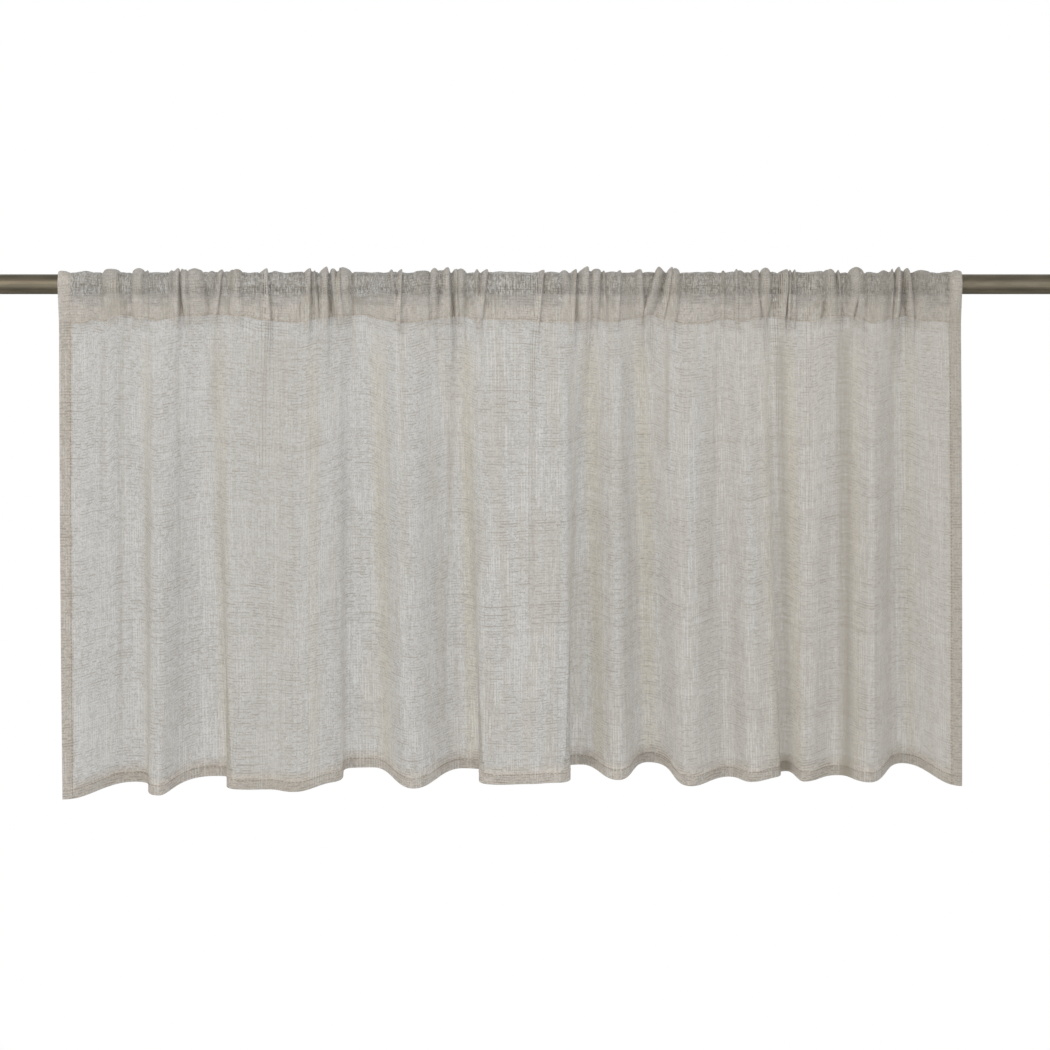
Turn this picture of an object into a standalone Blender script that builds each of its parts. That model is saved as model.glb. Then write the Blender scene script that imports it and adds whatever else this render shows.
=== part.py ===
"""Cafe curtain: one gathered panel of sheer linen-look cloth on a round metal rod.

Metres, +Z up. The origin is the middle of the rod's axis. The rod runs along X, and the cloth
hangs below it with its face to -Y. The panel is one piece: its top is turned over the rod as a
casing, sewn along the casing seam, and the same cloth falls from the seam to the hem.
"""

from math import cos, pi, radians, sin
from typing import NamedTuple

import bmesh
import bpy
from mathutils import Vector

MM = 0.001

# Rod
ROD_RADIUS = 10 * MM
ROD_LENGTH = 1200 * MM
ROD_SIDES = 40
ROD_RIM_BEVEL = 1 * MM
ROD_RIM_STEPS = 2

# Cloth
CLOTH_THICKNESS = 1.2 * MM
ROD_CLEARANCE = 0.65 * MM  # at the corners of the faceted casing; its flats come to half of that
SEAM_DROP = 35.5 * MM  # casing seam below the rod's axis, where the cloth lies smooth
SEAM_LIFT = 0.9  # how far a pleat draws the seam up, as a share of its rise
SEAM_WEB = 3 * MM  # solid cloth above the seam before the casing opens
HEM_EXTRA = 0.8 * MM  # how much the cloth turned back at the hems adds behind it
BOTTOM_HEM = 10.5  # height of the turned hem, in millimetres as in the tables
SIDE_HEM = 12.0
HEM_STEP = 0.5  # half the height of the ramp from single to turned cloth

# Casing: the angles at which its cloth leaves the rod, front and back, measured up from the front
CASING_FRONT_ANGLE = radians(-18)
CASING_BACK_ANGLE = radians(198)
CASING_ARC_STEPS = 8
PLEAT_AT_BACK = 0.5  # share of a pleat's rise that is left on the back of the casing
FRONT_ANGLE_SHARE = 0.4  # how far down the casing, from its top to the seam, the rod lets go of the cloth

# Fall: how the folds grow between the seam and the hem
SEAM_DEPTH = 0.12  # share of a fold's depth that it has at the seam
DEPTH_GROWTH = 2.2
TURN_GROWTH = 1.5
SEAM_REACH = 0.42  # roundness of every fold at the seam, as a share of the way to the next ridge
FALL_LEVELS = (0.0, 0.06, 0.18, 0.38, 0.64)  # levels of the mesh above the hem


class Fold(NamedTuple):
    """One ridge or valley line of the hanging cloth, in millimetres.

    head, hem: place along the rod at the seam and at the hem
    front: how far the line stands in front of the rod's axis at the hem, less than 0 behind it
    drop: the hem's depth below the rod's axis there
    left, right: how far the hem runs on to each side of the line before it turns
    steps: columns of the mesh between this line and the next
    """

    head: float
    hem: float
    front: float
    drop: float
    left: float
    right: float
    steps: int


FOLDS = (
    # head, hem, front, drop, left, right, steps
    Fold(-451, -454, 24, 523, 0, 28, 6),
    Fold(-377, -384, -26, 516, 32, 28, 5),
    Fold(-350, -357, 14, 521, 25, 12, 5),
    Fold(-313, -302, -26, 510, 40, 44, 7),
    Fold(-275, -268, 18, 514, 49, 10, 3),
    Fold(-243, -245, 17, 514, 10, 10, 3),
    Fold(-210, -220, 24, 515, 11, 16, 4),
    Fold(-176, -180, 6, 509, 16, 20, 4),
    Fold(-158, -161, -24, 501, 20, 8, 2),
    Fold(-146, -141, -26, 501, 8, 20, 5),
    Fold(-108, -98, 26, 511, 20, 20, 5),
    Fold(-62, -49, -22, 501, 22, 53, 7),
    Fold(-25, -10, 22, 508, 53, 14, 3),
    Fold(25, 20, 19, 508, 14, 10, 3),
    Fold(52, 45, 22, 506, 10, 42, 7),
    Fold(78, 72, -26, 498, 42, 18, 5),
    Fold(106, 110, 18, 504, 18, 16, 5),
    Fold(126, 141, -28, 496, 17, 31, 6),
    Fold(172, 184, 24, 509, 24, 14, 5),
    Fold(211, 224, -10, 507, 18, 9, 4),
    Fold(232, 245, 14, 507, 9, 10, 3),
    Fold(250, 270, 2, 505, 8, 14, 4),
    Fold(260, 282, -16, 503, 14, 9, 4),
    Fold(302, 299, 12, 507, 8, 14, 4),
    Fold(335, 332, -8, 505, 14, 14, 4),
    Fold(362, 365, 20, 506, 14, 18, 5),
    Fold(387, 401, -28, 497, 18, 25, 6),
    Fold(451, 458, 24, 509, 25, 0, 0),
)


class Pleat(NamedTuple):
    """One small pleat that gathers the casing, in millimetres.

    top, seam: its place along the rod over the rod's top and at the seam
    width, rise: its size
    run: how far below the seam it dies out
    """

    top: float
    seam: float
    width: float
    rise: float
    run: float


PLEATS = (
    # top, seam, width, rise, run
    Pleat(-399, -394, 12, 3.5, 60),
    Pleat(-372, -370, 12, 4.0, 50),
    Pleat(-333, -332, 7, 3.5, 70),
    Pleat(-325, -325, 6, 3.0, 40),
    Pleat(-317, -317, 12, 4.5, 60),
    Pleat(-245, -243, 7, 4.0, 90),
    Pleat(-203, -202, 8, 4.0, 60),
    Pleat(-186, -186, 8, 6.0, 110),
    Pleat(-165, -167, 12, 5.5, 80),
    Pleat(-74, -77, 8, 3.0, 50),
    Pleat(-64, -66, 9, 5.5, 90),
    Pleat(-54, -54, 8, 4.0, 60),
    Pleat(75, 74, 8, 6.0, 120),
    Pleat(84, 85, 8, 3.0, 60),
    Pleat(152, 142, 9, 6.0, 110),
    Pleat(254, 255, 12, 4.5, 80),
    Pleat(345, 345, 13, 4.5, 80),
    Pleat(387, 389, 8, 5.5, 90),
    Pleat(395, 397, 7, 3.5, 60),
)
WIDE_PLEAT = 9  # from this width on, a pleat's cross-section gets two more columns
NARROW_STATIONS = (-0.5, 0.0, 0.5)
WIDE_STATIONS = (-0.5, -0.22, 0.0, 0.22, 0.5)
LEAST_COLUMN = 1.6  # columns closer together than this at the seam are left out

LAST_FOLD = len(FOLDS) - 1
LEVEL_COUNT = len(FALL_LEVELS) + 3  # with the two at the top of the hem and the hem's edge


def mix(start, end, share):
    return start + (end - start) * share


def smooth(share):
    return share * share * (3 - 2 * share)


def bezier(p0, p1, p2, p3, share):
    rest = 1 - share
    return rest**3 * p0 + 3 * rest**2 * share * p1 + 3 * rest * share**2 * p2 + share**3 * p3


def line_slope(index):
    """How steeply the hem passes a fold's line: level at a ridge or valley, oblique in between."""
    if index in (0, LAST_FOLD):
        return 0.0
    before, here, after = FOLDS[index - 1 : index + 2]
    steep_in = (here.front - before.front) / (here.hem - before.hem)
    steep_out = (after.front - here.front) / (after.hem - here.hem)
    if steep_in * steep_out <= 0:
        return 0.0
    return 2 * steep_in * steep_out / (steep_in + steep_out)


SLOPES = [line_slope(index) for index in range(len(FOLDS))]


def split(place):
    """A place along the cloth as the fold before it and the share of the way to the next."""
    index = min(int(place), LAST_FOLD - 1)
    return index, place - index


def fold_plan(place, fall):
    """Where the folded cloth is along the rod and in front of it, at one level of the fall."""
    index, share = split(place)
    here, after = FOLDS[index], FOLDS[index + 1]
    x0, x1 = mix(here.head, here.hem, fall), mix(after.head, after.hem, fall)
    depth = mix(SEAM_DEPTH, 1, 1 - (1 - fall) ** DEPTH_GROWTH)
    turn = fall**TURN_GROWTH
    out = mix(SEAM_REACH * (x1 - x0), here.right, turn)
    back = mix(SEAM_REACH * (x1 - x0), after.left, turn)
    y0, y1 = here.front, after.front
    along = bezier(x0, x0 + out, x1 - back, x1, share)
    front = bezier(y0, y0 + SLOPES[index] * out, y1 - SLOPES[index + 1] * back, y1, share)
    return along, depth * front


def station(place):
    """The same place as a position along the rod at the seam."""
    return fold_plan(place, 0.0)[0]


def pleat_rise(along, down, below=0.0):
    """Height of the small pleats: down goes from 0 at the casing's top to 1 at the seam."""
    rise = 0.0
    for pleat in PLEATS:
        offset = abs(along - mix(pleat.top, pleat.seam, down)) / pleat.width
        if offset < 0.5 and below < pleat.run:
            rise += pleat.rise * cos(pi * offset) ** 2 * (1 - smooth(below / pleat.run))
    return rise


def seam_height(place):
    return -SEAM_DROP / MM + SEAM_LIFT * pleat_rise(station(place), 1)


def fall_point(place, fall):
    """Middle of the cloth's thickness between the seam, fall 0, and the hem, fall 1."""
    index, share = split(place)
    drop = mix(FOLDS[index].drop, FOLDS[index + 1].drop, smooth(share))
    top = seam_height(place)
    height = mix(top, -drop, fall)
    along, front = fold_plan(place, fall)
    front += pleat_rise(station(place), 1, top - height)
    return Vector((along, -front, height)) * MM


def fall_levels(place):
    """The mesh's levels, with two at the top of the turned hem."""
    index, share = split(place)
    drop = mix(FOLDS[index].drop, FOLDS[index + 1].drop, smooth(share))
    length = drop + seam_height(place)
    hem_top = 1 - BOTTOM_HEM / length
    ramp = HEM_STEP / length
    return (*FALL_LEVELS, hem_top - ramp, hem_top + ramp, 1.0)


def hem_extra(place, level_index):
    """Extra thickness behind the cloth where its edge is turned: the last two levels, and the sides."""
    from_side = abs(FOLDS[-1].head) - abs(station(place))
    turned = level_index >= LEVEL_COUNT - 2 or from_side < SIDE_HEM
    return HEM_EXTRA if turned and level_index > 0 else 0.0


def casing_point(place, turn):
    """Middle of the casing's cloth, from turn 0 at the seam, over the rod, to turn 1 at the seam."""
    seam = fall_point(place, 0.0)
    angle = mix(CASING_FRONT_ANGLE, CASING_BACK_ANGLE, (turn - WALL_TURN) / (1 - 2 * WALL_TURN))
    angle = min(max(angle, CASING_FRONT_ANGLE), CASING_BACK_ANGLE)
    top_angle = pi / 2
    down = FRONT_ANGLE_SHARE * abs(angle - top_angle) / (top_angle - CASING_FRONT_ANGLE)
    behind = max(0.0, (angle - top_angle) / (CASING_BACK_ANGLE - top_angle))
    rise = pleat_rise(station(place), down) * mix(1, PLEAT_AT_BACK, behind)
    radius = ROD_RADIUS + ROD_CLEARANCE + CLOTH_THICKNESS / 2 + rise * MM
    on_rod = Vector((station(place) * MM, -radius * cos(angle), radius * sin(angle)))
    loose = max(0.0, 1 - min(turn, 1 - turn) / WALL_TURN)
    return on_rod.lerp(seam, loose)


# Share of the way round the casing that each flat wall, between the rod and the seam, takes
WALL_TURN = 0.2
CASING_TURNS = [WALL_TURN / 2] + [
    mix(WALL_TURN, 1 - WALL_TURN, step / CASING_ARC_STEPS) for step in range(CASING_ARC_STEPS + 1)
] + [1 - WALL_TURN / 2]


def facing(surface, place, level):
    """Unit normal of a surface of the cloth, by small differences."""
    small = 1e-3
    along = surface(min(place + small, LAST_FOLD), level) - surface(max(place - small, 0), level)
    across = surface(place, min(level + small, 1)) - surface(place, max(level - small, 0))
    return along.cross(across).normalized()


def place_at(along):
    """The place whose position at the seam is along."""
    low, high = 0.0, float(LAST_FOLD)
    for _ in range(40):
        middle = (low + high) / 2
        if station(middle) < along:
            low = middle
        else:
            high = middle
    return (low + high) / 2


def column_places():
    """Places of the mesh's columns: pleats first, and the folds' own steps between them."""
    pleated = []
    for pleat in PLEATS:
        shares = WIDE_STATIONS if pleat.width >= WIDE_PLEAT else NARROW_STATIONS
        pleated += [pleat.seam + share * pleat.width for share in shares]
    folded = []
    for index, fold in enumerate(FOLDS[:-1]):
        folded += [station(index + step / fold.steps) for step in range(fold.steps)]
    ends = [FOLDS[0].head, FOLDS[-1].head]
    hemmed = []
    for ramp in (-HEM_STEP, HEM_STEP):
        hemmed += [ends[0] + SIDE_HEM + ramp, ends[1] - SIDE_HEM - ramp]
    kept = ends + hemmed
    for along in pleated + folded:
        if all(abs(along - other) >= LEAST_COLUMN for other in kept):
            kept.append(along)
    inner = sorted(place_at(along) for along in kept if along not in ends)
    return [0.0] + inner + [float(LAST_FOLD)]


def column_points(place):
    """One cross-section of the panel: its outer loop, from the hem's back over the front, and the casing's."""
    half = CLOTH_THICKNESS / 2
    fronts, backs = [], []
    for index, fall in enumerate(fall_levels(place)):
        middle = fall_point(place, fall)
        normal = facing(fall_point, place, fall)
        fronts.append(middle - half * normal)
        backs.append(middle + (half + hem_extra(place, index)) * normal)
    outers, inners = [], []
    for turn in CASING_TURNS:
        middle = casing_point(place, turn)
        normal = facing(casing_point, place, turn)
        outers.append(middle + half * normal)
        inners.append(middle - half * normal)
    web = fall_point(place, 0.0) + Vector((0, 0, SEAM_WEB))
    return fronts[::-1] + outers + backs, [web] + inners


def add_loops(mesh, columns):
    """Skin of a bundle of closed loops, one for each column."""
    rings = [[mesh.verts.new(point) for point in loop] for loop in columns]
    size = len(rings[0])
    for ring, after in zip(rings, rings[1:]):
        for corner in range(size):
            other = (corner + 1) % size
            mesh.faces.new((ring[corner], after[corner], after[other], ring[other]))
    return rings


def add_side_edge(mesh, outer, inner):
    """The panel's side edge: the cloth's thickness between the outer loop and the casing's loop."""
    levels = LEVEL_COUNT
    turns = len(CASING_TURNS)
    front_seam, back_seam = levels - 1, levels + turns
    for level in range(levels - 1):
        mesh.faces.new((outer[level], outer[level + 1], outer[-level - 2], outer[-level - 1]))
    for turn in range(turns - 1):
        ring = outer[levels + turn : levels + turn + 2]
        mesh.faces.new((ring[0], ring[1], inner[turn + 2], inner[turn + 1]))
    mesh.faces.new((outer[front_seam], outer[front_seam + 1], inner[1], inner[0]))
    mesh.faces.new((outer[back_seam - 1], outer[back_seam], inner[0], inner[-1]))
    mesh.faces.new((outer[front_seam], inner[0], outer[back_seam]))


def finish(name, mesh, material):
    """Makes the object and shades its round surfaces smooth."""
    data = bpy.data.meshes.new(name)
    mesh.to_mesh(data)
    mesh.free()
    data.shade_smooth()
    data.set_sharp_from_angle(angle=radians(50))
    data.materials.append(material)
    made = bpy.data.objects.new(name, data)
    bpy.context.collection.objects.link(made)
    return made


def plain_material(name, colour, roughness, metallic):
    material = bpy.data.materials.new(name)
    material.use_nodes = True
    shader = material.node_tree.nodes["Principled BSDF"]
    shader.inputs["Base Color"].default_value = (*colour, 1)
    shader.inputs["Roughness"].default_value = roughness
    shader.inputs["Metallic"].default_value = metallic
    return material


def make_curtain():
    sections = [column_points(place) for place in column_places()]
    mesh = bmesh.new()
    outer = add_loops(mesh, [section[0] for section in sections])
    inner = add_loops(mesh, [section[1] for section in sections])
    for end in (0, -1):
        add_side_edge(mesh, outer[end], inner[end])
    bmesh.ops.triangulate(mesh, faces=mesh.faces[:])
    bmesh.ops.recalc_face_normals(mesh, faces=mesh.faces[:])
    return finish("curtain", mesh, plain_material("cloth", (0.46, 0.43, 0.38), 0.9, 0.0))


def make_rod():
    mesh = bmesh.new()
    bmesh.ops.create_cone(
        mesh, cap_ends=True, segments=ROD_SIDES, radius1=ROD_RADIUS, radius2=ROD_RADIUS, depth=ROD_LENGTH
    )
    rod = finish("rod", mesh, plain_material("rod_metal", (0.24, 0.21, 0.16), 0.35, 1.0))
    rod.rotation_euler = (0, pi / 2, 0)
    rim = rod.modifiers.new("rim", "BEVEL")
    rim.width = ROD_RIM_BEVEL
    rim.segments = ROD_RIM_STEPS
    rim.limit_method = "ANGLE"
    rim.angle_limit = radians(60)
    return rod


def main():
    for old in list(bpy.data.objects):
        bpy.data.objects.remove(old, do_unlink=True)
    hanging = bpy.data.objects.new("hanging_line", None)
    bpy.context.collection.objects.link(hanging)
    for piece in (make_rod(), make_curtain()):
        piece.parent = hanging


main()
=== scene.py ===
"""Looks of the cafe curtain: the hung cloth with its hems and casing, its stitching and the metal rod.

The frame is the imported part's: metres, +Z up, the rod along X, the cloth's face to -Y. Sizes of the
cloth are in millimetres and are turned into metres where a mesh is made.
"""

from math import cos, pi, radians, sin
from typing import NamedTuple

import bpy
import numpy as np
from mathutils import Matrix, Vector


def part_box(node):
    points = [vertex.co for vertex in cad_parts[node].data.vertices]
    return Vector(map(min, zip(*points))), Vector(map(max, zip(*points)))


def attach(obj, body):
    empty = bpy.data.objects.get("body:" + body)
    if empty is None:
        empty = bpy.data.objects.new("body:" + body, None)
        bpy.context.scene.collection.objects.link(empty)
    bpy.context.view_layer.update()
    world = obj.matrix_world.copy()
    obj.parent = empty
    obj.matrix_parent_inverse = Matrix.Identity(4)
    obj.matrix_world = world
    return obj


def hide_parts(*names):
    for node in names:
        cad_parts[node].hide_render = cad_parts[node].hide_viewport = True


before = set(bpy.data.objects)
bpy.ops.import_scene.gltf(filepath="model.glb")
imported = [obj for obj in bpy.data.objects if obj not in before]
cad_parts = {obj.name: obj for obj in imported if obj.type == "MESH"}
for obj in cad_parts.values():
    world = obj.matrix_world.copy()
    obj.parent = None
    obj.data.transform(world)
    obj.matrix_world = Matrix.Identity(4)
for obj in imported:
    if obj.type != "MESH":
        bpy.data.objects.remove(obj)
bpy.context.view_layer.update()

MM = 0.001

# Casing and fall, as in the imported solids
ROD_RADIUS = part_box("rod")[1].z / MM
ROD_CLEARANCE = 1.25  # from the rod to the middle of the casing's cloth
CASING_FRONT_ANGLE = radians(-18)  # where the cloth leaves the rod, measured up from the front
CASING_BACK_ANGLE = radians(198)
PLEAT_AT_BACK = 0.5  # share of a pleat's rise that is left on the back of the casing
FRONT_ANGLE_SHARE = 0.4  # how far down the casing, from its top to the seam, the rod lets go of the cloth
SEAM_DEPTH = 0.12  # share of a fold's depth that it has at the seam
DEPTH_GROWTH = 2.2  # more for folds that grow deep sooner below the seam
TURN_GROWTH = 1.5  # more for turns of the hem that set in lower down
SEAM_REACH = 0.42  # roundness of every fold at the seam, as a share of the way to the next ridge

# Turned cloth
BOTTOM_HEM = 10.5
SIDE_HEM = 12.0
HEM_DEPTH = 0.8  # from the front of the bottom hem to its back layer
SIDE_HEM_DEPTH = 0.5
HEM_PADDING = 1.6  # how much deeper the bottom hem is where the side hems lie in it, as a share
ALLOWANCE_DEPTH = 0.7  # from the casing's back to the cloth turned in behind it
SEAM_DEPTH_BEHIND = 1.4  # from the front of the casing seam to its back
FOLD_BULGE = 0.35  # how far a folded edge stands out
INNER_FOLD_PLACE = 0.75  # share of a hem's depth at which its inner fold lies
HEM_LAYERS = 3
FOLDED_LAYERS = 1.2  # layers that a pleat adds
FOLDED_RISE = 1.0  # of a pleat that starts to fold over on itself
FOLDED_RANGE = 2.0  # how much more rise it takes to fold over wholly
FOLDED_REACH = 14.0  # how far below the seam a pleat's layers come apart
SEAM_LAYERS = 3
SEAM_EDGE = 0.0015  # height of the strip in which the seam's layers end, as a share of the fall
LAYER_EDGE = 2.0  # height in which a further layer sets in behind the front of the casing
GROOVE_SHARE = 0.22  # depth of the crease on each side of a pleat, as a share of its rise
GROOVE_PLACE = 0.53
GROOVE_WIDTH = 0.3
RIPPLES = ((0.35, 31.0), (0.3, 19.7), (0.2, 12.3))  # size and length of the gathers between the pleats
SEAM_STITCH_SHARE = 0.3  # how far up the casing's first row the seam's stitches are
ALLOWANCE_TOP = 20.0  # upper edge of the cloth turned in behind the casing, below the rod's axis

# Mesh of the cloth
COLUMNS = 900
DENSE_STEPS = 200  # places for each fold at which pleats are looked for
PLEATED_RISE = 0.2  # from which the columns stand closer together
PLEAT_CROWDING = 1.0  # how much closer, as a share
FLANK_LIMIT = 2.0  # steepest flank that counts: its cloth is seen three times as dense
TINY = 1e-9  # keeps the normal of a point without a slope from dividing by zero
TUCK_REACH = 0.3  # share of the casing's height in which a tuck opens below the rod
HEM_HEIGHTS = (0.0, 1.0, 5.5, 9.5, BOTTOM_HEM)
FALL_ROWS = 54
TOP_CROWDING = 1.3
WALL_ROWS = 8
ARC_ROWS = 14
ALLOWANCE_ROWS = 4  # rows of the back wall that the turned-in cloth reaches up


class Fold(NamedTuple):
    """One ridge or valley line of the hanging cloth, the same as in the solids.

    head, hem: place along the rod at the seam and at the hem
    front: how far the line stands in front of the rod's axis at the hem, less than 0 behind it
    drop: the hem's depth below the rod's axis there
    left, right: how far the hem runs on to each side of the line before it turns
    """

    head: float
    hem: float
    front: float
    drop: float
    left: float
    right: float


FOLDS = (
    # head, hem, front, drop, left, right
    Fold(-451, -454, 24, 523, 0, 28),
    Fold(-377, -384, -26, 516, 32, 28),
    Fold(-350, -357, 14, 521, 25, 12),
    Fold(-313, -302, -26, 510, 40, 44),
    Fold(-275, -268, 18, 514, 49, 10),
    Fold(-243, -245, 17, 514, 10, 10),
    Fold(-210, -220, 24, 515, 11, 16),
    Fold(-176, -180, 6, 509, 16, 20),
    Fold(-158, -161, -24, 501, 20, 8),
    Fold(-146, -141, -26, 501, 8, 20),
    Fold(-108, -98, 26, 511, 20, 20),
    Fold(-62, -49, -22, 501, 22, 53),
    Fold(-25, -10, 22, 508, 53, 14),
    Fold(25, 20, 19, 508, 14, 10),
    Fold(52, 45, 22, 506, 10, 42),
    Fold(78, 72, -26, 498, 42, 18),
    Fold(106, 110, 18, 504, 18, 16),
    Fold(126, 141, -28, 496, 17, 31),
    Fold(172, 184, 24, 509, 24, 14),
    Fold(211, 224, -10, 507, 18, 9),
    Fold(232, 245, 14, 507, 9, 10),
    Fold(250, 270, 2, 505, 8, 14),
    Fold(260, 282, -16, 503, 14, 9),
    Fold(302, 299, 12, 507, 8, 14),
    Fold(335, 332, -8, 505, 14, 14),
    Fold(362, 365, 20, 506, 14, 18),
    Fold(387, 401, -28, 497, 18, 25),
    Fold(451, 458, 24, 509, 25, 0),
)


class SeamPoint(NamedTuple):
    """How far below the rod's axis the casing seam runs, at one place along the rod."""

    along: float
    drop: float


SEAM = (
    # along, drop
    SeamPoint(-451, 38.5),
    SeamPoint(-428, 39.5),
    SeamPoint(-418, 36.0),
    SeamPoint(-404, 37.5),
    SeamPoint(-396, 31.0),
    SeamPoint(-372, 33.0),
    SeamPoint(-354, 36.5),
    SeamPoint(-342, 34.5),
    SeamPoint(-330, 32.0),
    SeamPoint(-292, 30.5),
    SeamPoint(-268, 31.5),
    SeamPoint(-248, 35.5),
    SeamPoint(-212, 38.5),
    SeamPoint(-188, 33.5),
    SeamPoint(-172, 31.5),
    SeamPoint(-146, 31.5),
    SeamPoint(-130, 35.5),
    SeamPoint(-100, 38.5),
    SeamPoint(-84, 36.5),
    SeamPoint(-66, 34.0),
    SeamPoint(-48, 31.5),
    SeamPoint(-34, 35.0),
    SeamPoint(10, 35.5),
    SeamPoint(40, 37.5),
    SeamPoint(68, 37.0),
    SeamPoint(80, 34.0),
    SeamPoint(98, 38.0),
    SeamPoint(116, 36.0),
    SeamPoint(132, 34.0),
    SeamPoint(140, 31.0),
    SeamPoint(156, 35.5),
    SeamPoint(176, 40.0),
    SeamPoint(196, 40.0),
    SeamPoint(212, 35.0),
    SeamPoint(236, 37.0),
    SeamPoint(246, 33.5),
    SeamPoint(262, 33.0),
    SeamPoint(292, 37.5),
    SeamPoint(304, 37.5),
    SeamPoint(318, 32.0),
    SeamPoint(342, 32.0),
    SeamPoint(364, 39.0),
    SeamPoint(380, 34.0),
    SeamPoint(396, 32.0),
    SeamPoint(414, 37.0),
    SeamPoint(451, 37.5),
)


class Pleat(NamedTuple):
    """One small pleat that gathers the casing.

    top, seam: its place along the rod over the rod's top and at the seam
    width: its width over the rod's top
    flare, belly: how much wider it is at the seam and half way down
    rise: its height; less than 0 is a tuck, which only shows below the rod
    lean: how far its ridge leans along the rod
    point: 0.7 for a full round ridge, more for a pointed one
    run: how far below the seam it dies out
    """

    top: float
    seam: float
    width: float
    flare: float
    belly: float
    rise: float
    lean: float
    point: float
    run: float


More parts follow.
